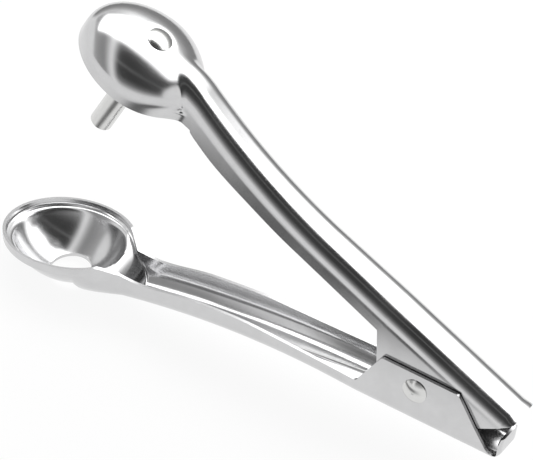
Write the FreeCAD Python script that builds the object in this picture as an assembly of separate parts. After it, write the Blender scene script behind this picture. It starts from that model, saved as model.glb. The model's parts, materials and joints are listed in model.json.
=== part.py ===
import FreeCAD, Part
import math
import os

# Olive pitter: two pressed sheet levers on one rivet, a pitting pin and a torsion spring.
# Both levers are drawn as channels about the pivot, open side up, with the head at -X and
# the tail at +X. The upper one is then turned over and opened. At the end the assembly is
# lifted, so that the flat underside of the lower lever is at Z = 0, below the pivot.

# Driving dimensions, in millimetres and degrees
SHEET = 1.0               # thickness of both pressed levers
OPEN_ANGLE = 23.8         # between the levers at rest, on the open stop
CORNER_RADIUS = 5.5       # outside, between the floor and the walls of a channel
LEVER_GAP = 0.3           # between an ear of the upper lever and the cheek beside it
EDGE = 6.7                # the walls' edge to the pivot, along the straight part of both
HEAD_LENGTH = 42.0        # bowl and dome, outside
HEAD_WIDTH = 34.4
HEAD_DEPTH = 14.6

# Lower lever
LOWER_DEPTH = 13.4        # pivot to the flat underside
LOWER_WIDTH = 18.0        # over the cheeks
LOWER_NECK = 14.0         # width just behind the bowl
NECK_EDGE = 12.9          # the walls' edge at the neck, below the pivot
LOWER_BEND_START = 28.0   # straight from the tail to this far ahead of the pivot
BOWL_REACH = 122.3        # pivot to the middle of the bowl's rim, along the lever
BOWL_DROP = 12.8          # middle of the rim below the pivot
BOWL_PITCH = 10.0         # the rim leans forward
BOWL_WALL = 3.0           # upright wall round the bowl
BOWL_LEDGE = 2.4          # step between that wall and the bowl
BOWL_CORNER = 1.0         # the neck's corners lie this far inside the bowl's rear end
BOWL_LEVEL = 12.3         # middle of the bowl to where the underside starts to level out
PIT_HOLE = 12.5
CREST = 1.9               # crest between bowl and channel, inside the bowl's rear end
CREST_RUN = 7.7           # the channel's front end slopes down over this length
CREST_STEP = 3.0          # the bowl's wall rises to its rim over this length
FOLD_WEB = 2.4            # sides of the hollow under the crest
CHEEK_TOP = 6.2           # above the pivot
CHEEK_FRONT = 12.3        # top front corner, ahead of the pivot
CHEEK_BACK = 13.9         # top rear corner, behind it
CHEEK_FOOT = 19.2         # front corner at the channel's edge
HEEL_REACH = 20.8         # the rear edge starts to curve here
HEEL_DROP = 3.2
HEEL_SAG = 0.5
CHEEK_CORNER = 1.2        # radius of the cheeks' top corners
TAIL_REACH = 28.8         # pivot to the back of the end tab
TAB_WIDTH = 11.0
TAB_HEIGHT = 6.4
TAB_CHAMFER = 1.5
TAB_BEND = 1.6            # outside radius where the tab turns up
UNDERSIDE_SKIM = 0.05     # pressed flat by this much, so the underside is a true plane
FADE_RUN = 14.0           # the pressed flat fades out within this length of the bend

# Upper lever
UPPER_DEPTH = 15.7        # pivot to its back
UPPER_NECK = 13.6
UPPER_BEND_START = 46.0
UPPER_TAIL = 28.2         # pivot to the end
TAIL_FLARE = 0.6          # the end turns outwards by this much
FLARE_RUN = 3.0
DOME_OVERHANG = 2.1       # the dome's middle is further from the pivot than the bowl's
DOME_RISE = 12.0          # middle of the dome's rim above the pivot
DOME_PITCH = 4.4
DOME_SKIRT = 3.5          # upright part of the dome
DOME_CORNER = -0.3        # its neck's corners lie just outside the dome
DOME_LEVEL = 20.4
SEAT_DEPTH = 0.5          # flat pressed into the dome for the pin's head
EAR_DROP = 4.5            # below the pivot
EAR_FOOT = 20.4           # front corner at the channel's edge
EAR_FRONT = 13.4          # bottom front corner
EAR_BACK = 13.6           # bottom rear corner
EAR_CORNER = 1.0

# Pin, rivet and spring
PIN_DIAMETER = 7.0
PIN_LENGTH = 29.0         # below the dome's rim
PIN_NECK = 4.6            # through the dome
PIN_EDGE = 0.9
RIVET_DIAMETER = 5.0
RUNNING_FIT = 0.05        # radial, ears on the rivet
HEAD_DIAMETER = 8.0       # riveted heads of the pin and of the pivot
HEAD_HEIGHT = 1.5
HEAD_LIP = 0.3            # upright edge of a riveted head
WIRE = 1.3
COIL_RADIUS = 4.8         # to the middle of the wire
COIL_PITCH = 1.9
COIL_TURNS = 3            # whole turns, before the part turn between the legs
LEG_REACH = 46.0          # pivot to the tip of a leg
LEG_OFFSET = 2.3          # tip of a leg to the middle plane
LEG_GAP = 0.1             # under a leg's tip
KNEE_SHARE = 0.3          # share of a leg that is bent

# Working sizes, larger than what is cut with them
RAW_TOP = 14.0            # untrimmed walls rise to here
WIDE = 40.0               # half width of a side outline
DEEP = 60.0
STATION = 9.0             # spacing of the sections along a bend
LEVEL_RISE = 1.4          # what is left to drop where the levelling starts
OPEN_ROUNDING = 1.2       # how much the corners' radius grows with the half width, in the head
JOIN_RISE = 0.4           # the channel ends this far above the bowl's lowest point

# Fall of a wall's edge to the neck, as (share of the reach, share of the fall)
LOWER_FALL = [(0.44, 0.0), (0.62, 0.32), (0.785, 1.0)]
UPPER_FALL = [(0.45, 0.0), (0.62, 0.2), (0.71, 0.4), (0.79, 0.78)]

DOME_REACH = BOWL_REACH + DOME_OVERHANG
CREST_REACH = BOWL_REACH - HEAD_LENGTH / 2 + CREST
UPPER_WIDTH = LOWER_WIDTH - 2 * (SHEET + LEVER_GAP)
V = FreeCAD.Vector


def line(a, b):
    return Part.LineSegment(a, b).toShape()


def arc(a, mid, b):
    return Part.Arc(a, mid, b).toShape()


def slab(edges):
    """Solid of a closed outline in the XZ plane, wide enough to cut a whole lever."""
    face = Part.Face(Part.Wire(edges))
    face.translate(V(0, -WIDE, 0))
    return face.extrude(V(0, 2 * WIDE, 0))


def between(value, places):
    """Straight-line value between the nearest two of (place, value) pairs."""
    for (a, low), (b, high) in zip(places, places[1:]):
        if value <= b:
            return low + (high - low) * max(0.0, value - a) / (b - a)
    return places[-1][1]


class Channel:
    """Pressed lever's U section: straight, then bent, then opened into the head."""

    def __init__(self, depth, widths, bend_start, head, overlap, level, bottom):
        corner = HEAD_LENGTH / 2 - overlap
        self.depth = depth
        self.neck = widths[1] / 2
        self.bend_start = bend_start
        self.level_start = head - level
        past = self.level_start - bend_start
        self.bend_radius = past ** 2 / (2 * (bottom - LEVEL_RISE - depth))
        self.slope = past / self.bend_radius
        self.level_run = 2 * LEVEL_RISE / self.slope
        self.nose = self.level_start + self.level_run
        self.corner_place = head - corner
        tangent = self.wedge(corner)
        side = (head - tangent[0], tangent[1])
        self.width = widths[0] / 2
        self.opening = [(self.corner_place, self.neck), side, (head, HEAD_WIDTH / 2)]

    def wedge(self, corner):
        """Where a line from the neck's corner touches the head's oval."""
        a, b = HEAD_LENGTH / 2, HEAD_WIDTH / 2
        square = corner ** 2 - a ** 2
        lean = corner * self.neck
        rest = self.neck ** 2 - b ** 2
        if abs(square) < 1e-6:
            slope = -rest / (2 * lean)
        else:
            slope = (-lean + math.sqrt(lean ** 2 - square * rest)) / square
        reach = math.sqrt((a * slope) ** 2 + b ** 2)
        return a ** 2 * slope / reach, b ** 2 / reach

    def floor(self, x):
        past = max(0.0, min(-x, self.level_start) - self.bend_start)
        beyond = min(self.level_run, max(0.0, -x - self.level_start))
        drop = past ** 2 / (2 * self.bend_radius)
        return -self.depth - drop - self.slope * (beyond - beyond ** 2 / (2 * self.level_run))

    def half_width(self, x):
        if -x > self.corner_place:
            return between(-x, self.opening)
        left = min(1.0, (self.corner_place + x) / (self.corner_place - CHEEK_FOOT))
        return self.neck + (self.width - self.neck) * left ** 2

    def radius(self, x):
        half = self.half_width(x)
        opened = max(0.0, half - self.neck) if -x > self.corner_place else 0.0
        return min(CORNER_RADIUS + OPEN_ROUNDING * opened, half - SHEET / 2)

    def section(self, x, inset, sink, flare):
        w = self.half_width(x) - inset + flare
        r = self.radius(x) - inset
        z = self.floor(x) + inset - sink - flare
        k = r * (1 - math.sqrt(0.5))
        return Part.Wire([
            line(V(x, -w, RAW_TOP), V(x, -w, z + r)),
            arc(V(x, -w, z + r), V(x, -w + k, z + k), V(x, -w + r, z)),
            line(V(x, -w + r, z), V(x, w - r, z)),
            arc(V(x, w - r, z), V(x, w - k, z + k), V(x, w, z + r)),
            line(V(x, w, z + r), V(x, w, RAW_TOP)),
            line(V(x, w, RAW_TOP), V(x, -w, RAW_TOP)),
        ])

    def places(self, back, front):
        """Ends, changes of form and evenly spaced places between them."""
        marks = {-CHEEK_FOOT, -self.bend_start, -self.corner_place, -self.opening[1][0], -self.level_start, front}
        places = [back]
        for mark in sorted((m for m in marks if front <= m < back), reverse=True):
            count = math.ceil((places[-1] - mark) / STATION) if mark < -CHEEK_FOOT else 1
            start = places[-1]
            places += [start + (mark - start) * (i + 1) / count for i in range(count)]
        return places

    def body(self, back, front, inset, sink=0.0, flared=False):
        """Ruled loft; inset moves the whole wall, sink only lowers the floor."""
        places = self.places(back, front)
        if flared:
            places.insert(1, back - FLARE_RUN)
        flares = [TAIL_FLARE if flared and x == back else 0.0 for x in places]
        return Part.makeLoft([self.section(x, inset, sink, f) for x, f in zip(places, flares)], True, True)


LOWER = Channel(LOWER_DEPTH, (LOWER_WIDTH, LOWER_NECK), LOWER_BEND_START, BOWL_REACH, BOWL_CORNER, BOWL_LEVEL,
                BOWL_DROP + HEAD_DEPTH - JOIN_RISE)
UPPER = Channel(UPPER_DEPTH, (UPPER_WIDTH, UPPER_NECK), UPPER_BEND_START, DOME_REACH, DOME_CORNER, DOME_LEVEL,
                DOME_RISE + HEAD_DEPTH - SEAT_DEPTH)


def revolved(edges):
    return Part.Face(Part.Wire(edges)).revolve(V(0, 0, 0), V(0, 0, 1), 360)


def oval(shape):
    """Draw a round dish in to the width of the head."""
    matrix = FreeCAD.Matrix()
    matrix.scale(V(1, HEAD_WIDTH / HEAD_LENGTH, 1))
    return shape.transformGeometry(matrix)


def bowl(inset):
    """Stepped bowl with its rim at z = 0, hollow side up."""
    rim = HEAD_LENGTH / 2 - inset
    foot = HEAD_LENGTH / 2 - BOWL_LEDGE
    rise = HEAD_DEPTH - BOWL_WALL
    ball = (foot ** 2 + rise ** 2) / (2 * rise)
    middle = ball - HEAD_DEPTH
    radius = ball - inset
    ledge = inset - BOWL_WALL
    edge = math.sqrt(radius ** 2 - (ledge - middle) ** 2)
    half = math.asin(edge / radius) / 2
    bottom = V(0, 0, middle - radius)
    bend = V(radius * math.sin(half), 0, middle - radius * math.cos(half))
    return oval(revolved([
        line(V(0, 0, RAW_TOP), bottom),
        arc(bottom, bend, V(edge, 0, ledge)),
        line(V(edge, 0, ledge), V(rim, 0, ledge)),
        line(V(rim, 0, ledge), V(rim, 0, RAW_TOP)),
        line(V(rim, 0, RAW_TOP), V(0, 0, RAW_TOP)),
    ]))


def dome(inset):
    """Smooth dish with an upright skirt and a flat seat in the middle."""
    rim = HEAD_LENGTH / 2 - inset
    rise = HEAD_DEPTH - DOME_SKIRT - inset
    seat = HEAD_DEPTH - SEAT_DEPTH - inset
    start = math.asin((seat - DOME_SKIRT) / rise)
    curve = Part.ArcOfEllipse(Part.Ellipse(V(rim, 0, 0), V(0, 0, rise), V(0, 0, 0)), -start, 0).toShape()
    curve.translate(V(0, 0, -DOME_SKIRT))
    ends = sorted((v.Point for v in curve.Vertexes), key=lambda p: p.z)
    return oval(revolved([
        line(V(0, 0, RAW_TOP), V(0, 0, ends[0].z)),
        line(V(0, 0, ends[0].z), ends[0]),
        curve,
        line(ends[1], V(rim, 0, RAW_TOP)),
        line(V(rim, 0, RAW_TOP), V(0, 0, RAW_TOP)),
    ]))


def seated(dish, reach, drop, pitch):
    """Lean a dish about its rim's middle and put it on its lever."""
    dish.rotate(V(0, 0, 0), V(0, 1, 0), -pitch)
    dish.translate(V(-reach, 0, -drop))
    return dish


def rim_point(x, reach, drop, pitch):
    return V(x, 0, -drop + (x + reach) * math.tan(math.radians(pitch)))


def round_bar(radius, start, direction):
    return Part.makeCylinder(radius, direction.Length, start, direction)


def cross_hole(diameter):
    return round_bar(diameter / 2, V(0, -WIDE, 0), V(0, 2 * WIDE, 0))


def chain(corners):
    """Open outline through corners (x, z, radius); the inner ones are rounded by their radius."""
    points = [V(x, 0, z) for x, z, _ in corners]
    edges = []
    last = points[0]
    for i in range(1, len(points) - 1):
        before = (points[i - 1] - points[i]).normalize()
        after = (points[i + 1] - points[i]).normalize()
        half = before.getAngle(after) / 2
        radius = corners[i][2]
        start = points[i] + before * (radius / math.tan(half))
        end = points[i] + after * (radius / math.tan(half))
        edges.append(line(last, start))
        if radius > 0:
            middle = (before + after).normalize()
            edges.append(arc(start, points[i] + middle * (radius / math.sin(half) - radius), end))
        last = end
    return edges + [line(last, points[-1])]


def edge_curve(reach, fall, start, end):
    """Curved edge of a channel's walls, from the cheek or ear to the neck."""
    points = [start] + [V(-share * reach, 0, -EDGE + (end.z + EDGE) * part) for share, part in fall] + [end]
    curve = Part.BSplineCurve()
    curve.interpolate(points)
    return curve.toShape()


def lower_trim():
    """Side outline of the lower lever."""
    place = (BOWL_REACH, BOWL_DROP, BOWL_PITCH)
    foot = V(-CHEEK_FOOT, 0, -EDGE)
    neck = V(-CREST_REACH, 0, -NECK_EDGE)
    rim = rim_point(neck.x - CREST_STEP, *place)
    tip = rim_point(-BOWL_REACH - HEAD_LENGTH, *place)
    heel = V(HEEL_REACH, 0, -HEEL_DROP)
    tail = V(TAIL_REACH - SHEET, 0, -LOWER_DEPTH + SHEET)
    chord = tail - heel
    belly = (heel + tail) * 0.5 + V(chord.z, 0, -chord.x).normalize() * HEEL_SAG
    cheek = [(foot.x, foot.z, 0), (-CHEEK_FRONT, CHEEK_TOP, CHEEK_CORNER), (CHEEK_BACK, CHEEK_TOP, CHEEK_CORNER),
             (heel.x, heel.z, 0)]
    under = [(tail.x, tail.z, 0), (TAIL_REACH, tail.z, 0), (TAIL_REACH, -DEEP, 0), (tip.x, -DEEP, 0),
             (tip.x, tip.z, 0), (rim.x, rim.z, 0), (neck.x, neck.z, 0)]
    edge = edge_curve(BOWL_REACH, LOWER_FALL, foot, neck)
    return slab(chain(cheek) + [arc(heel, belly, tail)] + chain(under) + [edge])


def underside_trim():
    """All that is above the flat underside and inside the bend of the end tab."""
    front = -BOWL_REACH - HEAD_LENGTH
    fade = -LOWER_BEND_START - FADE_RUN
    return slab(chain([(front, RAW_TOP, 0), (TAIL_REACH, RAW_TOP, 0), (TAIL_REACH, -LOWER_DEPTH, TAB_BEND),
                       (-LOWER_BEND_START, -LOWER_DEPTH, 0), (fade, -LOWER_DEPTH - SHEET, 0), (fade, -DEEP, 0),
                       (front, -DEEP, 0), (front, RAW_TOP, 0)]))


def upper_trim():
    """Side outline of the upper lever."""
    place = (DOME_REACH, DOME_RISE, -DOME_PITCH)
    foot = V(-EAR_FOOT, 0, -EDGE)
    neck = rim_point(-UPPER.corner_place, *place)
    tip = rim_point(-DOME_REACH - HEAD_LENGTH, *place)
    ear = [(foot.x, foot.z, 0), (-EAR_FRONT, EAR_DROP, EAR_CORNER), (EAR_BACK, EAR_DROP, EAR_CORNER),
           (UPPER_TAIL, -UPPER_DEPTH + SHEET, 0), (UPPER_TAIL, -DEEP, 0), (tip.x, -DEEP, 0), (tip.x, tip.z, 0),
           (neck.x, neck.z, 0)]
    return slab(chain(ear) + [edge_curve(DOME_REACH, UPPER_FALL, foot, neck)])


def fold(thickness):
    """All that is ahead of the channel's sloping front end, or of the sheet's other side."""
    crest = V(-CREST_REACH, 0, -NECK_EDGE)
    foot = V(crest.x + CREST_RUN, 0, LOWER.floor(crest.x + CREST_RUN))
    shift = thickness / math.sin(math.atan2(crest.z - foot.z, foot.x - crest.x))
    front = crest.x - DEEP
    block = slab(chain([(front, RAW_TOP, 0), (crest.x, RAW_TOP, 0), (crest.x, crest.z, 0), (foot.x, foot.z, 0),
                        (foot.x, -DEEP, 0), (front, -DEEP, 0), (front, RAW_TOP, 0)]))
    block.translate(V(-shift, 0, 0))
    return block


def end_tab():
    """Tab that the floor's end is bent up into, with its top corners cut off."""
    half = TAB_WIDTH / 2
    low, high = -LOWER_DEPTH, -LOWER_DEPTH + TAB_HEIGHT
    corners = [(-half, low), (half, low), (half, high - TAB_CHAMFER), (half - TAB_CHAMFER, high),
               (TAB_CHAMFER - half, high), (-half, high - TAB_CHAMFER)]
    points = [V(TAIL_REACH - SHEET, y, z) for y, z in corners]
    plate = Part.Face(Part.makePolygon(points + points[:1])).extrude(V(SHEET, 0, 0))
    return plate.common(LOWER.body(TAIL_REACH + CHEEK_FOOT, -CHEEK_FOOT, 0))


def make_lower_lever():
    place = (BOWL_REACH, BOWL_DROP, BOWL_PITCH)
    back = TAIL_REACH + CHEEK_FOOT
    bowl_die = seated(bowl(0), *place)
    die = LOWER.body(back, -LOWER.nose, 0, UNDERSIDE_SKIM).fuse(bowl_die)
    punch = LOWER.body(back, -LOWER.nose, SHEET).cut(fold(0))
    low = LOWER.floor(-LOWER.corner_place) + NECK_EDGE / 2
    below = Part.makeBox(DEEP, 2 * WIDE, DEEP, V(-BOWL_REACH, -WIDE, low - DEEP))
    hollow = LOWER.body(-LOWER_BEND_START - CHEEK_FOOT, -LOWER.nose, FOLD_WEB, HEAD_DEPTH / 2)
    hollow = hollow.common(fold(SHEET)).common(below).cut(bowl_die)
    sheet = die.cut(punch).cut(seated(bowl(SHEET), *place)).cut(hollow).common(lower_trim())
    sheet = sheet.fuse(end_tab()).common(underside_trim())
    lean = math.radians(BOWL_PITCH)
    hole = round_bar(PIT_HOLE / 2, V(-BOWL_REACH, 0, -BOWL_DROP), V(math.sin(lean), 0, -math.cos(lean)) * WIDE)
    return sheet.cut(hole).cut(cross_hole(RIVET_DIAMETER)).removeSplitter()


def make_upper_lever():
    place = (DOME_REACH, DOME_RISE, -DOME_PITCH)
    die = UPPER.body(UPPER_TAIL, -UPPER.nose, 0, 0, True).fuse(seated(dome(0), *place))
    punch = UPPER.body(UPPER_TAIL, -UPPER.nose, SHEET, 0, True).fuse(seated(dome(SHEET), *place))
    hole = seated(round_bar(PIN_NECK / 2, V(0, 0, 0), V(0, 0, -WIDE)), *place)
    sheet = die.cut(punch).common(upper_trim()).cut(hole)
    return sheet.cut(cross_hole(RIVET_DIAMETER + 2 * RUNNING_FIT)).removeSplitter()


def head_profile(radius, height, base, sign):
    """Edge of a low domed rivet head, from its rim up to the axis."""
    ball = (radius ** 2 + height ** 2) / (2 * height)
    half = math.asin(radius / ball) / 2
    rise = ball * math.cos(half) - (ball - height)
    return arc(V(radius, 0, base), V(ball * math.sin(half), 0, base + sign * rise), V(0, 0, base + sign * height))


def make_pin():
    """Pin with its shoulder inside the dome and its end riveted over outside."""
    radius = PIN_DIAMETER / 2
    shoulder = -(HEAD_DEPTH - SEAT_DEPTH - SHEET)
    outside = shoulder - SHEET
    rim = HEAD_DIAMETER / 2
    profile = [
        line(V(0, 0, PIN_LENGTH), V(radius - PIN_EDGE, 0, PIN_LENGTH)),
        line(V(radius - PIN_EDGE, 0, PIN_LENGTH), V(radius, 0, PIN_LENGTH - PIN_EDGE)),
        line(V(radius, 0, PIN_LENGTH - PIN_EDGE), V(radius, 0, shoulder)),
        line(V(radius, 0, shoulder), V(PIN_NECK / 2, 0, shoulder)),
        line(V(PIN_NECK / 2, 0, shoulder), V(PIN_NECK / 2, 0, outside)),
        line(V(PIN_NECK / 2, 0, outside), V(rim, 0, outside)),
        line(V(rim, 0, outside), V(rim, 0, outside - HEAD_LIP)),
        head_profile(rim, HEAD_HEIGHT - HEAD_LIP, outside - HEAD_LIP, -1),
        line(V(0, 0, outside - HEAD_HEIGHT), V(0, 0, PIN_LENGTH)),
    ]
    return seated(revolved(profile), DOME_REACH, DOME_RISE, -DOME_PITCH)


def make_rivet():
    """Pivot rivet: a shaft through ears and cheeks, headed over on both sides."""
    half = LOWER_WIDTH / 2
    rim = HEAD_DIAMETER / 2
    shaft = RIVET_DIAMETER / 2
    profile = [
        line(V(0, 0, -half - HEAD_HEIGHT), V(0, 0, half + HEAD_HEIGHT)),
        head_profile(rim, HEAD_HEIGHT - HEAD_LIP, half + HEAD_LIP, 1),
        line(V(rim, 0, half + HEAD_LIP), V(rim, 0, half)),
        line(V(rim, 0, half), V(shaft, 0, half)),
        line(V(shaft, 0, half), V(shaft, 0, -half)),
        line(V(shaft, 0, -half), V(rim, 0, -half)),
        line(V(rim, 0, -half), V(rim, 0, -half - HEAD_LIP)),
        head_profile(rim, HEAD_HEIGHT - HEAD_LIP, -half - HEAD_LIP, -1),
    ]
    rivet = revolved(Part.__sortEdges__(profile))
    rivet.rotate(V(0, 0, 0), V(1, 0, 0), 90)
    return rivet


def tangent_arc(start, heading, end):
    """Arc that leaves start along heading and reaches end."""
    chord = end - start
    along = chord * (1 / chord.Length)
    lean = heading - along * heading.dot(along)
    if lean.Length < 1e-6:
        return line(start, end)
    lean.normalize()
    turn = math.acos(max(-1.0, min(1.0, heading.dot(along))))
    mid = start + chord * 0.5 + lean * (chord.Length / 2 * math.tan(turn / 2))
    return arc(start, mid, end)


def biarc(start, heading, end, arrival):
    """Two arcs that join start to end along both headings."""
    span = end - start
    total = heading + arrival
    spread = 2 * (1 - heading.dot(arrival))
    reach = span.dot(total)
    if spread < 1e-9:
        size = span.dot(span) / (4 * span.dot(arrival))
    else:
        size = (-reach + math.sqrt(reach ** 2 + spread * span.dot(span))) / spread
    joint = (start + heading * size + end - arrival * size) * 0.5
    back = tangent_arc(end, arrival * -1, joint)
    points = [back.valueAt(back.LastParameter), back.valueAt((back.FirstParameter + back.LastParameter) / 2), end]
    return [tangent_arc(start, heading, joint), arc(points[0], points[1], points[2])]


def make_spring():
    """Torsion spring round the rivet, one leg in each lever, as one unbroken wire."""
    low_tip = V(-LEG_REACH, -LEG_OFFSET, LOWER.floor(-LEG_REACH) + SHEET + WIRE / 2 + LEG_GAP)
    high = V(-LEG_REACH, LEG_OFFSET, -(UPPER.floor(-LEG_REACH) + SHEET + WIRE / 2 + LEG_GAP))
    turn = FreeCAD.Rotation(V(0, 1, 0), OPEN_ANGLE)
    high_tip = turn.multVec(high)

    def slope(tip):
        """Angle of the tangent from the tip to the coil, above -X."""
        reach = math.hypot(tip.x, tip.z)
        return math.atan2(tip.z, -tip.x), math.asin(COIL_RADIUS / reach)

    low_angle, low_part = slope(low_tip)
    high_angle, high_part = slope(high_tip)
    first = -math.pi / 2 - (low_angle + low_part)
    last = math.pi / 2 - (high_angle - high_part)
    sweep = 2 * math.pi * COIL_TURNS + (last - first)
    rate = COIL_PITCH / (2 * math.pi)
    start_y = -rate * sweep / 2
    helix_length = math.hypot(COIL_RADIUS, rate)

    def at(a):
        return V(COIL_RADIUS * math.cos(a), start_y + rate * (a - first), COIL_RADIUS * math.sin(a))

    def along(a):
        v = V(-COIL_RADIUS * math.sin(a), rate, COIL_RADIUS * math.cos(a))
        return v * (1 / helix_length)

    steps = math.ceil(sweep / (math.pi / 2))
    angles = [first + sweep * i / steps for i in range(steps + 1)]
    low_knee = at(angles[0]) + (low_tip - at(angles[0])) * KNEE_SHARE
    high_knee = at(angles[-1]) + (high_tip - at(angles[-1])) * KNEE_SHARE
    low_run = low_knee - low_tip
    low_run.normalize()
    high_run = high_tip - high_knee
    high_run.normalize()
    edges = [line(low_tip, low_knee)]
    edges += biarc(low_knee, low_run, at(angles[0]), along(angles[0]))
    for a, b in zip(angles, angles[1:]):
        edges += biarc(at(a), along(a), at(b), along(b))
    edges += biarc(at(angles[-1]), along(angles[-1]), high_knee, high_run)
    edges.append(line(high_knee, high_tip))
    path = Part.Wire(edges)
    ring = Part.Wire(Part.makeCircle(WIRE / 2, low_tip, low_run))
    spring = path.makePipeShell([ring], True, False)
    print("spring volume", spring.Volume, "by length", path.Length * math.pi * WIRE ** 2 / 4)
    print("spring least gap to itself", least_gap(path) - WIRE)
    return spring


def least_gap(path):
    """Least distance between centre points that are over one turn's third apart."""
    count = 600
    points = path.discretize(count)
    step = path.Length / (count - 1)
    apart = math.ceil(COIL_RADIUS * 2 / step)
    return min(points[i].distanceToPoint(points[j]) for i in range(count) for j in range(i + apart, count))


def opened(shape):
    """Turn an upper piece over and open it about the pivot."""
    turned = shape.mirror(V(0, 0, 0), V(0, 0, 1))
    turned.rotate(V(0, 0, 0), V(0, 1, 0), OPEN_ANGLE)
    return turned


def main():
    os.makedirs("parts", exist_ok=True)
    nodes = {
        "lower_lever": make_lower_lever(),
        "upper_lever": opened(make_upper_lever()),
        "pitting_pin": opened(make_pin()),
        "pivot_rivet": make_rivet(),
        "return_spring": make_spring(),
    }
    for name, shape in nodes.items():
        shape.translate(V(0, 0, LOWER_DEPTH))
        shape.exportStep("parts/" + name + ".step")
        print(name, shape.isValid(), len(shape.Solids), round(shape.Volume, 1))


main()
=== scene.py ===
# %% [markdown]
# An olive pitter is two pressed levers on one rivet, bright plated all over. The packed
# model gives the place of every piece, so it is loaded first, and its box is kept.

# %% Load the frame
import bpy
import json
import math
import numpy as np
from mathutils import Matrix, Vector


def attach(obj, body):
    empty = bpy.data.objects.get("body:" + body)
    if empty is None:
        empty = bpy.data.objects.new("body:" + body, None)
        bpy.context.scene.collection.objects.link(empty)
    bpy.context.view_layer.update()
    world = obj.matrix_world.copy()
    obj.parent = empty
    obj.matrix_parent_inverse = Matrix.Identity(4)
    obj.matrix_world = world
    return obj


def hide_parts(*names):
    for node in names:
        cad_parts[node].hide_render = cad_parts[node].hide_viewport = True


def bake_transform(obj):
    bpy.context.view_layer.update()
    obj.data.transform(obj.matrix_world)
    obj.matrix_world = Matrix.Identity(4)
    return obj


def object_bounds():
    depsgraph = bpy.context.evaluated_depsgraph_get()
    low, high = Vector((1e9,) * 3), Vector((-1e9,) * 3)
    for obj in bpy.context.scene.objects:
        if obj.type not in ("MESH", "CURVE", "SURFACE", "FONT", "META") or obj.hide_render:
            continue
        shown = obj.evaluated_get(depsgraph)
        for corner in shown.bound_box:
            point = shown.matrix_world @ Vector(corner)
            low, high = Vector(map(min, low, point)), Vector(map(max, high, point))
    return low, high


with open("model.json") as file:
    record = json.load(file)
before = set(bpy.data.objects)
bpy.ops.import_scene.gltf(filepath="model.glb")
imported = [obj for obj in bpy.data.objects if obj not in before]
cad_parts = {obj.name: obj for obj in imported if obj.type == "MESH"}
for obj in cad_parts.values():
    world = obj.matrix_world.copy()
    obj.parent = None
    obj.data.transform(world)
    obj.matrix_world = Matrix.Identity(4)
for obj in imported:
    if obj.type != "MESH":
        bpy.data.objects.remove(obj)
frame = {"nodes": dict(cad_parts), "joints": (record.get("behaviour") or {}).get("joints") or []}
cad_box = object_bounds()
pivot = Vector(frame["joints"][0]["pos_m"])
MM = 0.001
print("pivot", tuple(pivot), "box", cad_box)

# %% [markdown]
# The photograph is taken from above and behind the tail, with a long lens, and the
# camera leans a little. A long lens far away gives the same nearly parallel lines.

# %% Camera
view_azimuth = math.radians(22.8)
view_elevation = math.radians(41.3)
lean = math.radians(10.5)
pixels_per_metre = 3385.0
picture = (533, 460)
pivot_pixel = (429.4, 374.8)
distance = 4.0

back = Vector((math.sin(view_azimuth) * math.cos(view_elevation),
               -math.cos(view_azimuth) * math.cos(view_elevation),
               math.sin(view_elevation)))
turn = (-back).to_track_quat("-Z", "Y").to_matrix() @ Matrix.Rotation(lean, 3, "Z")
right, up = turn.col[0], turn.col[1]
to_middle = (right * (picture[0] / 2 - pivot_pixel[0])
             - up * (picture[1] / 2 - pivot_pixel[1])) / pixels_per_metre
bpy.ops.object.camera_add(location=pivot + to_middle + back * distance)
camera = bpy.context.object
camera.rotation_mode = "QUATERNION"
camera.rotation_quaternion = turn.to_quaternion()
camera.data.lens = camera.data.sensor_width * distance * pixels_per_metre / picture[0]
camera.data.clip_end = 20.0
bpy.context.scene.camera = camera
print("camera lens", round(camera.data.lens), "mm at", distance, "m")

# %% [markdown]
# Both levers start as a flat strip of sheet that is pressed over a die. A section across
# the strip says where each of its points ends up, so a few small helpers come first: a
# smooth step, a smooth curve through a few places, a flat die with rounded corners, and even
# spacing along an outline. Sizes are written in millimetres, as a maker would.

# %% Sizes shared by both levers
HEAD_LONG, HEAD_WIDE, SHEET = 42.0, 34.4, 1.0
OVAL = HEAD_WIDE / HEAD_LONG
print("head", HEAD_LONG, "by", HEAD_WIDE, "sheet", SHEET)


# %% Smooth step and smooth curve
def smooth_step(t):
    """Rises from 0 to 1 as t does, and is level at both ends."""
    t = min(max(t, 0.0), 1.0)
    return t * t * (3 - 2 * t)


def smooth_curve(x, points):
    """Height at x on a curve through (place, height) points that never overshoots them."""
    px, pz = np.array(sorted(points)).T
    slope = np.diff(pz) / np.diff(px)
    product = slope[:-1] * slope[1:]
    inner = np.where(product > 0, 2 * product / np.where(product > 0, slope[:-1] + slope[1:], 1), 0)
    tangent = np.concatenate([[slope[0]], inner, [slope[-1]]])
    x = np.clip(x, px[0], px[-1])
    i = np.clip(np.searchsorted(px, x) - 1, 0, len(px) - 2)
    step = px[i + 1] - px[i]
    t = (x - px[i]) / step
    return ((1 + 2 * t) * (1 - t) ** 2 * pz[i] + t * (1 - t) ** 2 * step * tangent[i]
            + t * t * (3 - 2 * t) * pz[i + 1] - t * t * (1 - t) * step * tangent[i + 1])


print("half way up a smooth step", smooth_step(0.5))


# %% Rounded corners
def soft_min(a, b, width):
    """Lower of two heights, with the corner between them rounded over width."""
    share = np.clip(0.5 + (b - a) / (2 * width), 0, 1)
    return b + (a - b) * share - width * share * (1 - share)


def trough(y, floor, half, radius):
    """Height across a channel with a flat floor and round corners."""
    over = np.clip(np.abs(y) - (half - radius), 0, radius)
    return floor + radius - np.sqrt(np.maximum(radius ** 2 - over ** 2, 0))


print("rounded trough", trough(np.array([0.0, 8.0, 9.0]), -13.4, 9.0, 5.5))


# %% Even spacing along an outline
FINE = 0.1


def distances(points):
    """How far along a line of points each of them is."""
    return np.concatenate([[0], np.cumsum(np.hypot(*np.diff(points, axis=0).T))])


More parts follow.
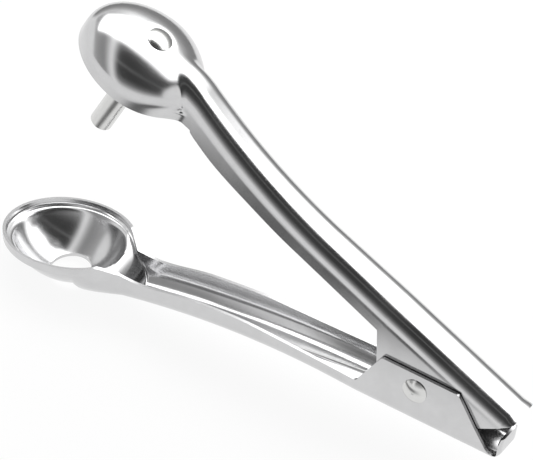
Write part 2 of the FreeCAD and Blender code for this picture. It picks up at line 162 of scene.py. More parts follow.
def along_line(points, count):
    """Points at even distances along a line of points."""
    length = distances(points)
    places = np.linspace(0, length[-1], count)
    return np.stack([np.interp(places, length, points[:, k]) for k in (0, 1)], axis=1)


def evenly(points, count, blur):
    """The same outline in count points at even spacing, its corners rounded over blur."""
    whole = distances(points)[-1]
    many = max(count, int(whole / FINE))
    dense = along_line(points, many)
    reach = int(3 * blur / (whole / (many - 1)))
    if reach:
        weight = np.exp(-0.5 * (np.arange(-reach, reach + 1) * 3 / reach) ** 2)
        weight /= weight.sum()
        before = 2 * dense[0] - dense[reach:0:-1]
        after = 2 * dense[-1] - dense[-2:-reach - 2:-1]
        longer = np.concatenate([before, dense, after])
        dense = np.stack([np.convolve(longer[:, k], weight, "valid") for k in (0, 1)], axis=1)
    return along_line(dense, count)


print("corner spaced", evenly(np.array([[0.0, 0.0], [1.0, 0.0], [1.0, 1.0]]), 3, 0.0).tolist())

# %% [markdown]
# Each lever is described in its own place: pivot at the origin, head towards -X, open side
# up. The strip is divided into rows that lie across it. Near the head the rows lean with
# the rim, so that the walls of the dish stay square to its edge.

# %% The line of a lever
class Lever:
    """One pressed lever, in millimetres.

    Its head's middle is at head in front of the pivot and drop below it, and the rim leans by
    pitch degrees. Rows lean with the rim as far as corner behind the middle. The channel is
    depth deep and straight as far as bend in front of the pivot. It is widths wide at the
    foot and at the neck, and curves down to bottom where the head's floor is level. The
    function edge gives the height of the walls' edge over x.
    """

    def __init__(self, head, drop, pitch, corner, depth, widths, bend, level, bottom, foot, edge):
        self.head, self.drop, self.pitch, self.corner = head, drop, math.radians(pitch), corner
        self.depth, self.widths, self.bend, self.level = depth, widths, bend, head - level
        self.radius = (self.level - bend) ** 2 / (2 * (bottom - 1.4 - depth))
        self.slope = (self.level - bend) / self.radius
        self.foot, self.edge = foot, edge

    def floor(self, x):
        past = np.clip(np.minimum(-x, self.level) - self.bend, 0, None)
        beyond = np.clip(-x - self.level, 0, None)
        fall = past ** 2 / (2 * self.radius) + self.slope * beyond
        return -self.depth - fall + (self.slope * beyond) ** 2 / 5.6

    def half_width(self, x):
        left = np.clip((self.head - self.corner + x) / (self.head - self.corner - self.foot), 0, 1)
        return (self.widths[1] + (self.widths[0] - self.widths[1]) * left ** 2) / 2

    def row(self, u):
        """Where the row u millimetres behind the head's middle starts, and its lean."""
        rim = min(u, self.corner)
        turned = self.pitch * (1 - smooth_step((u - self.corner) / 14))
        x = -self.head + rim * math.cos(self.pitch) + u - rim
        return x, -self.drop + rim * math.sin(self.pitch), turned

    def behind(self, x):
        """Number of the upright row at x."""
        return x + self.head + self.corner * (1 - math.cos(self.pitch))


print("a lever has", [name for name in vars(Lever) if not name.startswith("_")])


# %% Where a row meets a surface
def met_by(row, height, count):
    """How far along a leaning row it meets a surface whose height is given over x."""
    x, z, turned = row
    s = np.full(count, -10.0)
    for _ in range(14):
        s = (height(x - s * math.sin(turned)) - z) / math.cos(turned)
    return s


print("level row meets a level floor at", met_by((0.0, 0.0, 0.0), lambda x: 0 * x - 5.0, 1)[0])

# %% [markdown]
# The walls' edges are the outline of the flat blank, cut before it is pressed. Each is a
# smooth curve from the head to the pivot, and a few straight cuts round the ear or cheek.

# %% The two levers
UPPER_EDGE = [(-110, -13.11), (-106, -13.42), (-103.1, -13.64), (-98.3, -12.1),
              (-88.3, -9.48), (-77.1, -8.09), (-56, -6.7), (-20.4, -6.7)]
LOWER_EDGE = [(-110, -10.63), (-107.5, -10.19), (-104.2, -11.6), (-101.5, -12.8),
              (-97, -12.95), (-75.8, -8.68), (-53.8, -6.7), (-19.2, -6.7)]


def upper_edge(x):
    ear = np.interp(x, [-20.4, -13.4, 13.6, 28.2], [-6.7, 4.5, 4.5, -14.7])
    return np.where(x < -20.4, smooth_curve(x, UPPER_EDGE), ear)


def lower_edge(x):
    cheek = np.interp(x, [-19.2, -12.3, 13.9, 20.8, 24.6, 27.8],
                      [-6.7, 6.2, 6.2, -3.2, -7.9, -12.4])
    return np.where(x < -19.2, smooth_curve(x, LOWER_EDGE), cheek)


lower = Lever(head=122.3, drop=12.8, pitch=10.0, corner=20.0, depth=13.4, widths=(18.0, 14.0),
              bend=28.0, level=12.3, bottom=27.0, foot=19.2, edge=lower_edge)
upper = Lever(head=124.4, drop=12.0, pitch=-4.4, corner=21.3, depth=15.7, widths=(15.4, 13.6),
              bend=46.0, level=20.4, bottom=26.1, foot=20.4, edge=upper_edge)
print("bend radii", round(lower.radius), round(upper.radius))

# %% [markdown]
# The dome is an egg in plan, round in front and drawn in towards the neck. Its height at a
# place follows from how far out that place lies towards the egg's outline. The channel's
# back runs up into it, and the two meet in a crease that fades out at the top.

# %% Outline of the dome
def egg(u, inset):
    """Half the dome's width in the row at u."""
    long = HEAD_LONG / 2 - inset
    return long * OVAL * np.clip(1 - (u / long) ** 2, 0, 1) ** 0.68


def share_out(u, y, inset):
    """0 in the middle of the egg, 1 on its outline."""
    low, high = np.full(len(y), 1e-6), np.full(len(y), 3.0)
    for _ in range(40):
        middle = (low + high) / 2
        inside = middle * egg(u / middle, inset) > np.abs(y)
        low, high = np.where(inside, low, middle), np.where(inside, middle, high)
    return high


print("egg", np.round(egg(np.array([0.0, 10.0, 20.0]), 0.0), 2))


# %% Die of the upper lever
CORNER, SKIRT, DOME_RISE, DOME_TOP = 5.5, 3.5, 11.1, 14.1


def dome(u, y, inset):
    """Depth of the dome below its rim, with a short upright skirt."""
    rise = DOME_RISE - inset
    return -SKIRT - rise * np.sqrt(np.clip(1 - share_out(u, y, inset) ** 2, 0, 1))


def upper_die(u, inset):
    """Outside of the upper lever in the row at u, or its inside with an inset of the sheet."""
    row = upper.row(u)
    neck = upper.half_width(row[0]) - inset
    half = neck if u >= upper.corner else -soft_min(-egg(u, inset), -neck, 4.0)
    y = np.linspace(-neck, neck, 240)
    radius = min(CORNER + 0.08 * max(0.0, upper.corner - u) - inset, neck)
    s = met_by(row, lambda x: trough(y, upper.floor(x) + inset, neck, radius), len(y))
    if u < upper.corner:
        s = soft_min(s, dome(u, y, inset), 1.0)
        side = np.linspace(-half, -neck, 80)
        slope = dome(u, side, inset)
        y = np.concatenate([side, y, -side[::-1]])
        s = np.concatenate([slope, s, slope[::-1]])
        s = np.maximum(s, -(DOME_TOP - inset))
    return row, half, y, s


print("dome top at", round(float(upper_die(0.0, 0.0)[3].min()), 2))

# %% [markdown]
# The bowl is a ball's cap with a step round it and an upright wall. Behind it the sheet
# rises to a crest, falls away into the channel, and the walls draw together. The outside
# has no crest: there the channel's floor and walls run on under the bowl.

# %% Outline and dish of the bowl
BALL, BALL_RISE, RIM_WALL = 20.71, 6.11, 3


def lower_outline(u, inset):
    """Half the sheet's width in the row at u."""
    neck = lower.half_width(lower.row(u)[0]) - inset
    long = HEAD_LONG / 2 - inset
    oval = long * OVAL * math.sqrt(max(0.0, 1 - (u / long) ** 2))
    return neck if u >= lower.corner + 2 else float(-soft_min(-oval, -neck, 5.0))


def dish(u, y, inset):
    """Depth of the bowl below its rim."""
    ball = BALL - inset
    out = np.minimum(np.hypot(u, y / OVAL), ball - 0.01)
    step = np.full(len(y), inset - RIM_WALL - 1.4 * inset * smooth_step((u - 14) / 5))
    return soft_min(BALL_RISE - np.sqrt(ball ** 2 - out ** 2), step, 1.0)


print("bowl floor at", round(float(dish(0.0, np.zeros(1), 0.0)[0]), 2))


# %% Die of the lower lever
CREST_PLACE, CREST_HEIGHT, CREST_FALL = 103.2, -12.9, 1.143


def lower_die(u, inset):
    """Outside of the lower lever in the row at u, or its inside with an inset of the sheet."""
    row = lower.row(u)
    half = lower_outline(u, inset)
    y = np.linspace(-half, half, 400)
    wall = half * (1 - 0.3 * smooth_step((15 - u) / 13))
    rounder = 1.2 * max(0.0, wall - 7.0) if u < 22 else 0.0
    radius = min(CORNER - inset + rounder, wall)
    trench = met_by(row, lambda x: trough(y, lower.floor(x) + inset, wall, radius), len(y))
    if inset == 0:
        if u > 20.4:
            return row, half, y, trench
        trench = np.where(np.abs(y) > wall, -RIM_WALL, trench) + 5 * smooth_step((9 - u) / 9)
        return row, half, y, soft_min(trench, dish(u, y, 0), 0.6)
    fall = met_by(row, lambda x: CREST_HEIGHT - (x + CREST_PLACE) * CREST_FALL, len(y))
    s = soft_min(dish(u, y, inset), fall, 3.0)
    if u > 15:
        s = -soft_min(-s, -trench, 1.0)
    return row, half, y, s


print("lower sheet is", round(2 * lower_outline(0.0, 0.0), 1), "wide at the bowl")

# %% [markdown]
# A flat grid is the blank for each side of the sheet. Every row of it is laid on its own
# section of the die, and the round front of the head is spun from half of the last row, in
# the width at which the oval is a circle.

# %% One row of the sheet
def row_points(die, edge, u, inset, count, blur):
    """Places of count points across the sheet in the row at u, from wall to wall."""
    (x, z, turned), half, y, s = die(u, inset)
    top = float(met_by((x, z, turned), edge, 1)[0]) if u > 14 else 0.0
    top = max(min(top, 0.0) if u < 24 else top, s.min() + 0.1)
    inner = np.stack([y, s], axis=1)[s < top - 0.02]
    side = half if abs(inner[0, 0]) > half - 0.2 else abs(inner[0, 0]) + 0.01
    across, up_row = evenly(np.concatenate([[[-side, top]], inner, [[side, top]]]), count, blur).T
    return np.stack([x - up_row * math.sin(turned), across, z + up_row * math.cos(turned)], axis=1)


print("a row of", len(row_points(upper_die, upper_edge, 10.0, 0.0, 121, 0.0)), "points")


# %% Press a blank
def select_points(piece, chosen):
    """Leave only the chosen points of a piece selected, and open it for editing."""
    bpy.ops.object.mode_set(mode="EDIT")
    bpy.ops.mesh.select_mode(type="VERT")
    bpy.ops.mesh.select_all(action="DESELECT")
    bpy.ops.object.mode_set(mode="OBJECT")
    chosen = np.asarray(chosen, dtype=bool)
    piece.data.vertices.foreach_set("select", chosen)
    piece.data.edges.foreach_set("select", [bool(chosen[a] and chosen[b]) for a, b in
                                            (edge.vertices for edge in piece.data.edges)])
    bpy.ops.object.mode_set(mode="EDIT")
    bpy.ops.mesh.select_mode(type="EDGE")


def press(name, lever, die, places, count, inset):
    """One side of a lever's sheet, open side up, in millimetres."""
    rows = np.array([row_points(die, lever.edge, u, inset, count,
                                0.45 * smooth_step((lever.corner + 8 - u) / 6)) for u in places])
    bpy.ops.object.select_all(action="DESELECT")
    bpy.ops.mesh.primitive_grid_add(x_subdivisions=len(places) - 1,
                                    y_subdivisions=count - 1, size=1)
    blank = bpy.context.object
    blank.name = blank.data.name = name
    flat = np.empty(len(blank.data.vertices) * 3)
    blank.data.vertices.foreach_get("co", flat)
    flat = flat.reshape(-1, 3)
    across = np.rint((flat[:, 1] + 0.5) * (count - 1)).astype(int)
    along = np.rint((flat[:, 0] + 0.5) * (len(places) - 1)).astype(int)
    blank.data.vertices.foreach_set("co", rows[along, across].ravel())
    widen = Matrix.Diagonal((1, 1 / OVAL, 1, 1))
    blank.data.transform(widen)
    select_points(blank, (along == 0) & (across <= count // 2))
    axis = (-math.sin(lever.pitch), 0, math.cos(lever.pitch))
    bpy.ops.mesh.spin(steps=72, angle=math.pi, center=(-lever.head, 0, -lever.drop), axis=axis)
    bpy.ops.mesh.select_all(action="SELECT")
    bpy.ops.mesh.remove_doubles(threshold=0.01)
    bpy.ops.object.mode_set(mode="OBJECT")
    blank.data.transform(widen.inverted())
    front = min(v.co.x for v in blank.data.vertices)
    print(name, len(blank.data.vertices), "points, front", round(front, 2))
    return blank


# %% Places of the rows
def spaced(runs):
    """Places along a lever: (start, end, step) runs one after another."""
    out = []
    for start, end, step in runs:
        count = max(1, round(abs(end - start) / step))
        out += [start + (end - start) * i / count for i in range(count)]
    return out + [runs[-1][1]]


def row_places(lever, head_runs, channel_runs):
    """Rows counted from the head's middle, then rows over x along the channel."""
    return spaced(head_runs + [(lever.behind(a), lever.behind(b), step) for a, b, step in channel_runs])


upper_places = row_places(upper, [(0, 26, 0.5), (26, 34, 1)],
                          [(-upper.head + 34, -22, 2.5), (-22, -12, 0.5), (-12, 12, 2),
                           (12, 15, 0.5), (15, 25, 1), (25, 28.2, 0.4)])
lower_places = row_places(lower, [(0, 30, 0.5), (30, 40, 1)],
                          [(-lower.head + 40, -20.5, 2.5), (-20.5, -11, 0.5), (-11, 12, 2),
                           (12, 27.2, 0.5)])
print("rows", len(upper_places), len(lower_places))

# %% [markdown]
# The two sides of each sheet have the same rows, so their borders are bridged, and that
# band is the sheet's cut edge.

# %% Close each sheet
ACROSS = 121


def close_sheet(name, outside, inside):
    bpy.ops.object.select_all(action="DESELECT")
    inside.select_set(True)
    outside.select_set(True)
    bpy.context.view_layer.objects.active = outside
    bpy.ops.object.join()
    outside.name = outside.data.name = name
    bpy.ops.object.mode_set(mode="EDIT")
    bpy.ops.mesh.select_all(action="DESELECT")
    bpy.ops.mesh.select_mode(type="EDGE")
    bpy.ops.mesh.select_non_manifold(extend=False, use_wire=False, use_boundary=True,
                                     use_multi_face=False, use_non_contiguous=False,
                                     use_verts=False)
    bpy.ops.mesh.bridge_edge_loops()
    bpy.ops.mesh.select_all(action="SELECT")
    bpy.ops.mesh.normals_make_consistent(inside=False)
    bpy.ops.object.mode_set(mode="OBJECT")
    print(name, len(outside.data.polygons), "faces")
    return outside


top_sheet = close_sheet("upper_lever_sheet",
                        press("upper_out", upper, upper_die, upper_places, ACROSS, 0.0),
                        press("upper_in", upper, upper_die, upper_places, ACROSS, SHEET))
low_sheet = close_sheet("lower_lever_sheet",
                        press("lower_out", lower, lower_die, lower_places, ACROSS, 0.0),
                        press("lower_in", lower, lower_die, lower_places, ACROSS, SHEET))

# %% [markdown]
# The lower lever's floor ends in a small tab, bent up. The cut end of the floor is spun a
# quarter turn round the bend and drawn up, and its top is narrowed.

# %% Bend up the end tab
TAB_BEND, TAB_HALF = (27.2, 0, -11.8), 5.5


def start_selecting(piece, kind):
    """Leave nothing of a piece selected, so that code can choose what is."""
    bpy.ops.object.select_all(action="DESELECT")
    bpy.context.view_layer.objects.active = piece
    bpy.ops.object.mode_set(mode="EDIT")
    bpy.ops.mesh.select_mode(type=kind)
    bpy.ops.mesh.select_all(action="DESELECT")
    bpy.ops.object.mode_set(mode="OBJECT")


start_selecting(low_sheet, "FACE")
cut_end = [f for f in low_sheet.data.polygons
           if f.normal.x > 0.9 and f.center.x > TAB_BEND[0] - 0.1
           and abs(f.center.y) < TAB_HALF and f.center.z < TAB_BEND[2] + 0.3]
for face in cut_end:
    face.select = True
bpy.ops.object.mode_set(mode="EDIT")
bpy.ops.mesh.spin(steps=6, angle=math.pi / 2, center=TAB_BEND, axis=(0, 1, 0))
for rise in (3.3, 1.5):
    bpy.ops.mesh.extrude_region_move(TRANSFORM_OT_translate={"value": (0, 0, rise)})
bpy.ops.transform.resize(value=(1, 0.73, 1), center_override=(28.3, 0, -7))
bpy.ops.object.mode_set(mode="OBJECT")
rear = max(v.co.x for v in low_sheet.data.vertices)
print("tab of", len(cut_end), "faces, rear at", round(rear, 2))

# %% [markdown]
# The upper lever's tail is opened out a little where the thumb would meet a sharp corner.
# Its end is widened, and proportional editing lets that fade out over the last few
# millimetres.

# %% Open out the upper tail
start_selecting(top_sheet, "VERT")
tail_end = max(v.co.x for v in top_sheet.data.vertices)
tail_points = [v for v in top_sheet.data.vertices if v.co.x > tail_end - 0.05]
for point in tail_points:
    point.select = True
bpy.ops.object.mode_set(mode="EDIT")
bpy.ops.transform.resize(value=(1, 1.10, 1), center_override=(tail_end, 0, 0),
                         use_proportional_edit=True, proportional_edit_falloff="SMOOTH",
                         proportional_size=3.5)
bpy.ops.object.mode_set(mode="OBJECT")
print("tail end of", len(tail_points), "points")

# %% [markdown]
# The holes for the pit, the pin and the rivet are drilled with cylinders.

# %% Drill the holes
def drill(piece, diameter, start, end):
    """Cut a round hole through a piece, from one place to another."""
    span = Vector(end) - Vector(start)
    bpy.ops.object.select_all(action="DESELECT")
    bpy.ops.mesh.primitive_cylinder_add(vertices=96, radius=diameter / 2, depth=span.length,
                                        location=(Vector(start) + Vector(end)) / 2,
                                        rotation=span.to_track_quat("Z", "Y").to_euler())
    bit = bpy.context.object
    bpy.context.view_layer.objects.active = piece
    cut = piece.modifiers.new("hole", "BOOLEAN")
    cut.operation, cut.solver, cut.object = "DIFFERENCE", "EXACT", bit
    bpy.ops.object.modifier_apply(modifier=cut.name)
    bpy.data.objects.remove(bit)


def press_line(lever):
    """The middle of a lever's head, and the way its die comes down."""
    return (Vector((-lever.head, 0, -lever.drop)),
            Vector((math.sin(lever.pitch), 0, -math.cos(lever.pitch))))


for piece, lever, head_hole, rivet_hole in ((low_sheet, lower, 12.5, 5.0),
                                            (top_sheet, upper, 4.6, 5.1)):
    middle, down = press_line(lever)
    drill(piece, head_hole, middle + down * 5, middle + down * 20)
    drill(piece, rivet_hole, (0, -20, 0), (0, 20, 0))
    print(piece.name, "has holes of", head_hole, "and", rivet_hole)

# %% [markdown]
# Both sheets were shaped with the open side up. The upper lever is turned over here, and
# opened by the angle of the photograph. A mirror turns its faces inside out, so their
# normals are flipped. Points that the cutting left on top of each other are merged, and all
# but the sharp edges of the sheet are shaded smooth.

# %% Turn the upper lever over and smooth both
OPENING = math.radians(23.8)
top_sheet.data.transform(Matrix.Rotation(OPENING, 4, "Y") @ Matrix.Diagonal((1, 1, -1, 1)))
top_sheet.data.flip_normals()


def smooth_faces(piece):
    bpy.ops.object.select_all(action="DESELECT")
    piece.select_set(True)
    bpy.context.view_layer.objects.active = piece
    bpy.ops.object.mode_set(mode="EDIT")
    bpy.ops.mesh.select_all(action="SELECT")
    bpy.ops.mesh.remove_doubles(threshold=0.003)
    bpy.ops.mesh.dissolve_degenerate(threshold=0.003)
    bpy.ops.object.mode_set(mode="OBJECT")
    bpy.ops.object.shade_smooth_by_angle(angle=math.radians(40))
    print(piece.name, len(piece.data.polygons), "faces, smooth but for the sheet's own edges")


smooth_faces(low_sheet)
smooth_faces(top_sheet)

# %% [markdown]
# Until here the rivet was the origin. Both sheets now go to the rivet's place in the frame,
# in metres. Each rides on its body and stands for its plain lever in the packed model.

# %% Put both levers in place
TO_FRAME = Matrix.Scale(MM, 4) @ Matrix.Translation(pivot / MM)
for sheet, body, node in ((top_sheet, "upper", "upper_lever"), (low_sheet, "lower", "lower_lever")):
    sheet.data.transform(TO_FRAME)
    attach(sheet, body)
    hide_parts(node)
    print(sheet.name, [[round(side(v.co[i] for v in sheet.data.vertices), 4) for i in range(3)]
                       for side in (min, max)])

# %% [markdown]
# The return spring is wound from one wire round the rivet, with a straight leg for each
# lever. A spring winder feeds the wire round a post, so the line is a helix. Each leg leaves
# it along the tangent that ends at the leg's tip, pressed against the back of its lever.

# %% Where the spring's legs go
WIRE, COIL, PITCH, TURNS = 1.3, 4.8, 1.9, 3
LEG_REACH, LEG_SIDE, HIGH_LEG = 46, 2.3, 13.95
low_tip = Vector((-LEG_REACH, -LEG_SIDE, lower.floor(-LEG_REACH) + SHEET + WIRE / 2 + 0.1))
high_tip = Matrix.Rotation(OPENING, 3, "Y") @ Vector((-LEG_REACH, LEG_SIDE, HIGH_LEG))


def tangent_angle(tip):
    """The way to a leg's tip, and how far before it the tangent leaves the coil."""
    reach = math.hypot(tip.x, tip.z)
    return math.atan2(tip.z, -tip.x), math.asin(COIL / reach)


low_angle, low_part = tangent_angle(low_tip)
high_angle, high_part = tangent_angle(high_tip)
first = -math.pi / 2 - (low_angle + low_part)
last = math.pi / 2 - (high_angle - high_part)
sweep = 2 * math.pi * TURNS + (last - first)
print("spring turns", round(math.degrees(sweep)), "degrees between its legs")

# %% Wind the wire
STEPS = 240
rate = PITCH / (2 * math.pi)
start_y = -rate * sweep / 2
wire = [low_tip]
for step in range(STEPS + 1):
    a = first + sweep * step / STEPS
    wire.append(Vector((COIL * math.cos(a), start_y + rate * (a - first), COIL * math.sin(a))))
wire.append(high_tip)

curve = bpy.data.curves.new("spring_wire", "CURVE")
curve.dimensions = "3D"
line = curve.splines.new("POLY")
line.points.add(len(wire) - 1)
for point, place in zip(line.points, wire):
    point.co = (*place, 1)
curve.bevel_depth, curve.bevel_resolution, curve.use_fill_caps = WIRE / 2, 6, True
print("wire of", len(wire), "points,", WIRE, "thick")

# %% [markdown]
# The wire is made a mesh and put in place.

# %% Put the spring in place
spring = bpy.data.objects.new("return_spring_wire", curve)
bpy.context.collection.objects.link(spring)
bpy.ops.object.select_all(action="DESELECT")
spring.select_set(True)
bpy.context.view_layer.objects.active = spring
bpy.ops.object.convert(target="MESH")
spring = bpy.context.object
bpy.ops.object.shade_smooth_by_angle(angle=math.radians(50))
spring.data.transform(TO_FRAME)
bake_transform(spring)
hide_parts("return_spring")
print("spring of", len(spring.data.polygons), "faces")

# %% [markdown]
# All metal here is steel with a bright nickel or chrome plate. The plate copies the small
# unevenness of the pressed sheet, so reflections waver a little, and it is dulled by fine
# rubbing marks. Both come from noise laid on the object in its own coordinates.

# %% A plated metal
def metal(name, shade, smooth, dull, wave, grain):
    """Plate of a shade, between smooth and dull, uneven by wave and grain in metres."""
    material = bpy.data.materials.new(name)
    material.use_nodes = True
    nodes, links = material.node_tree.nodes, material.node_tree.links
    shader = nodes["Principled BSDF"]
    shader.inputs["Metallic"].default_value = 1.0
    place = nodes.new("ShaderNodeTexCoord")

    def noise(scale, detail, roughness=0.5):
        node = nodes.new("ShaderNodeTexNoise")
        node.inputs["Scale"].default_value = scale
        node.inputs["Detail"].default_value = detail
        node.inputs["Roughness"].default_value = roughness
        links.new(place.outputs["Object"], node.inputs["Vector"])
        return node.outputs["Fac"]

    def spread(source, low, high, start=0.3, end=0.7):
        node = nodes.new("ShaderNodeMapRange")
        for key, value in (("From Min", start), ("From Max", end), ("To Min", low), ("To Max", high)):
            node.inputs[key].default_value = value
        links.new(source, node.inputs["Value"])
        return node.outputs["Result"]

    handled = noise(45.0, 5.0, 0.6)
    links.new(spread(handled, smooth, dull), shader.inputs["Roughness"])
    tint = nodes.new("ShaderNodeMix")
    tint.data_type = "RGBA"
    tint.inputs["A"].default_value = (*shade, 1)
    tint.inputs["B"].default_value = (*(0.93 * c for c in shade), 1)
    links.new(spread(noise(160.0, 6.0, 0.65), 0.0, 1.0), tint.inputs["Factor"])
    links.new(tint.outputs["Result"], shader.inputs["Base Color"])
    waves = nodes.new("ShaderNodeBump")
    waves.inputs["Distance"].default_value = wave
    links.new(noise(85.0, 1.0), waves.inputs["Height"])
    grains = nodes.new("ShaderNodeBump")
    grains.inputs["Distance"].default_value = grain
    links.new(noise(2600.0, 3.0, 0.6), grains.inputs["Height"])
    links.new(waves.outputs["Normal"], grains.inputs["Normal"])
    links.new(grains.outputs["Normal"], shader.inputs["Normal"])
    return material


print("metal is ready")

# %% [markdown]
# The pressed sheet waves the most. The turned pin and rivet are smoother in shape and a
# little duller, and the spring's wire is bare steel, darker and drawn.

# %% Give every piece its metal
plated_sheet = metal("plated_sheet", (0.64, 0.64, 0.645), 0.13, 0.22, 2.0e-5, 1.2e-6)
pin_metal = metal("plated_pin", (0.70, 0.70, 0.69), 0.14, 0.24, 6.0e-6, 1.5e-6)
rivet_metal = metal("plated_rivet", (0.72, 0.72, 0.71), 0.16, 0.26, 6.0e-6, 1.5e-6)
wire_metal = metal("spring_steel", (0.58, 0.58, 0.58), 0.16, 0.28, 3.0e-6, 2.0e-6)
for piece, material in ((top_sheet, plated_sheet), (low_sheet, plated_sheet), (spring, wire_metal)):
    piece.data.materials.clear()
    piece.data.materials.append(material)
for node, material in (("pitting_pin", pin_metal), ("pivot_rivet", rivet_metal)):
    for place in frame["nodes"][node].material_slots:
        place.material = material
print("materials", [m.name for m in bpy.data.materials])

# %% [markdown]
# The part stands on a pale floor in a white room. The camera and every mirror see the room
# white, and everything else gets half as much light from it, so that the lamp still models
# the shapes.

# %% The room and the lamp
def seen_white(tree):
    """A factor that is 1 where the camera, a mirror or a clear surface looks at it."""
    ray = tree.nodes.new("ShaderNodeLightPath")
    first_pair = tree.nodes.new("ShaderNodeMath")
    either = tree.nodes.new("ShaderNodeMath")
    first_pair.operation = either.operation = "MAXIMUM"
    tree.links.new(ray.outputs["Is Camera Ray"], first_pair.inputs[0])
    tree.links.new(ray.outputs["Is Glossy Ray"], first_pair.inputs[1])
    tree.links.new(first_pair.outputs[0], either.inputs[0])
    tree.links.new(ray.outputs["Is Transmission Ray"], either.inputs[1])
    return either.outputs[0]


bpy.context.scene.view_settings.view_transform = "Standard"
world = bpy.data.worlds.new("studio")
bpy.context.scene.world = world
world.use_nodes = True
room = world.node_tree.nodes["Background"]
room.inputs["Color"].default_value = (1, 1, 1, 1)
level = world.node_tree.nodes.new("ShaderNodeMapRange")
level.inputs["To Min"].default_value = 0.5
level.inputs["To Max"].default_value = 1.0
world.node_tree.links.new(seen_white(world.node_tree), level.inputs["Value"])
world.node_tree.links.new(level.outputs["Result"], room.inputs["Strength"])

bpy.ops.object.light_add(type="AREA", location=(-0.05, 0.45, 0.65), rotation=(0, 0, 0))
softbox = bpy.context.object
softbox.name = "softbox"
softbox.data.shape = "RECTANGLE"
softbox.data.size, softbox.data.size_y, softbox.data.energy = 1.6, 0.9, 10.0
print("softbox of", softbox.data.size, "by", round(softbox.data.size_y, 2), "m")

# %% [markdown]
# Bright plate shows little but what stands round it. A photographer lights it in a tent of
# cloth, bright where the softbox is and dark elsewhere, and lays a black flag where a wall
# should look dark. Only mirrors see these two, and neither is part of the object. How bright
# each point is, is stored on the mesh.

# %% Cloth that only mirrors see
cloth = bpy.data.materials.new("tent_cloth")
cloth.use_nodes = True
lit = cloth.node_tree.nodes.new("ShaderNodeEmission")
stored = cloth.node_tree.nodes.new("ShaderNodeAttribute")
stored.attribute_name = "glow"
cloth.node_tree.links.new(stored.outputs["Fac"], lit.inputs["Strength"])
cloth.node_tree.links.new(lit.outputs[0], cloth.node_tree.nodes["Material Output"].inputs["Surface"])


def hang_cloth(name, points, glow, columns):
    """A sheet of rows of points, each as bright as its glow."""
    rows = len(points) // columns
    faces = [(r * columns + c, r * columns + c + 1, (r + 1) * columns + c + 1, (r + 1) * columns + c)
             for r in range(rows - 1) for c in range(columns - 1)]
    mesh = bpy.data.meshes.new(name)
    mesh.from_pydata(points, [], faces)
    mesh.attributes.new("glow", "FLOAT", "POINT").data.foreach_set("value", glow)
    mesh.materials.append(cloth)
    piece = bpy.data.objects.new(name, mesh)
    bpy.context.collection.objects.link(piece)
    piece.visible_camera = piece.visible_diffuse = piece.visible_shadow = False
    print(name, len(faces), "faces, glows from", round(min(glow), 2), "to", round(max(glow), 2))
    return piece


# %% [markdown]
# The tent is an arch round the X axis. Its brightness is given by the angle from overhead
# towards the front, where the softbox is behind the part and the dark side in front. To the
# left it changes to a brighter strip and then to plain grey.

# %% The light tent
ANGLES = [-95, -72, -60, -52, -42, -30, -22, -12, 0, 12, 30, 34, 38, 58, 72, 82, 90]
GLOW = [0.25, 0.33, 0.60, 1.5, 2.3, 2.0, 0.9, 0.22, 0.08, 0.05, 0.05, 0.22, 0.05, 0.06, 0.2, 0.5, 0.8]
LEFT_PLACES, LEFT_GLOW = [-1.8, -1.3, -0.62, -0.50, -0.38], [1.0, 0.5, 0.32, 0.6, 1.2]
TENT_RADIUS, TENT_START, TENT_LONG, COLUMNS, ROWS = 0.9, -1.8, 3.4, 64, 186


def tent_glow(angle, x):
    arch = float(np.interp(angle, ANGLES, GLOW))
    left = float(np.interp(x, LEFT_PLACES, LEFT_GLOW))
    leftness = float(smooth_step((-0.22 - x) / 0.16) * smooth_step((angle + 64) / 22))
    fade = float(np.interp(x, [TENT_START, TENT_START + 0.4], [1.0, 0.0]))
    return (arch + (left - arch) * leftness) * (1 - fade) + fade


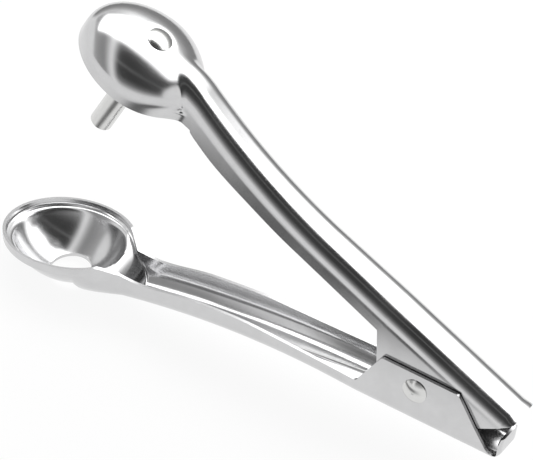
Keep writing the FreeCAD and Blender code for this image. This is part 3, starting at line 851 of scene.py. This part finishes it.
points, glow = [], []
for angle in range(ANGLES[0], ANGLES[0] + ROWS):
    turned = math.radians(angle)
    for column in range(COLUMNS + 1):
        x = TENT_START + TENT_LONG * column / COLUMNS
        points.append((x, -TENT_RADIUS * math.sin(turned), TENT_RADIUS * math.cos(turned)))
        glow.append(tent_glow(angle, x))
tent = hang_cloth("light_tent", points, glow, COLUMNS + 1)

# %% The black flag under the upper lever's near wall
FLAG_ROWS = ((-0.130, 0.95), (-0.098, 0.9), (-0.084, 0.15), (-0.058, 0.12), (-0.046, 0.9),
             (-0.036, 0.95))
FLAG_COLUMNS = (-0.30, -0.175, -0.135, -0.02, 0.02, 0.10)
flag_height = cad_box[0][2] + 0.0003
flag_points = [(x, y, flag_height) for y, _ in FLAG_ROWS for x in FLAG_COLUMNS]
flag_glow = [shade if -0.14 < x < 0.0 else 0.95 for _, shade in FLAG_ROWS for x in FLAG_COLUMNS]
flag = hang_cloth("black_flag", flag_points, flag_glow, len(FLAG_COLUMNS))

# %% [markdown]
# The floor is pale paper. The camera and mirrors see it nearly white, by the factor used for
# the room, and a tenth of it stays paper, so that the part's shadow still shows.

# %% The floor
WHITENESS = 0.9
bpy.ops.mesh.primitive_plane_add(size=6, location=(0, 0, cad_box[0][2] - 0.0001))
floor = bpy.context.object
floor.name = "floor"
paint = bpy.data.materials.new("floor_paper")
paint.use_nodes = True
tree = paint.node_tree
matt = tree.nodes["Principled BSDF"]
matt.inputs["Base Color"].default_value = (0.86, 0.86, 0.86, 1)
matt.inputs["Roughness"].default_value = 0.9
white = tree.nodes.new("ShaderNodeEmission")
white.inputs["Strength"].default_value = 1.0
share = tree.nodes.new("ShaderNodeMath")
share.operation = "MULTIPLY"
share.inputs[1].default_value = WHITENESS
tree.links.new(seen_white(tree), share.inputs[0])
both = tree.nodes.new("ShaderNodeMixShader")
tree.links.new(share.outputs[0], both.inputs["Fac"])
tree.links.new(matt.outputs[0], both.inputs[1])
tree.links.new(white.outputs[0], both.inputs[2])
tree.links.new(both.outputs[0], tree.nodes["Material Output"].inputs["Surface"])
floor.data.materials.append(paint)
print("floor at", round(floor.location.z, 4))

# %% [markdown]
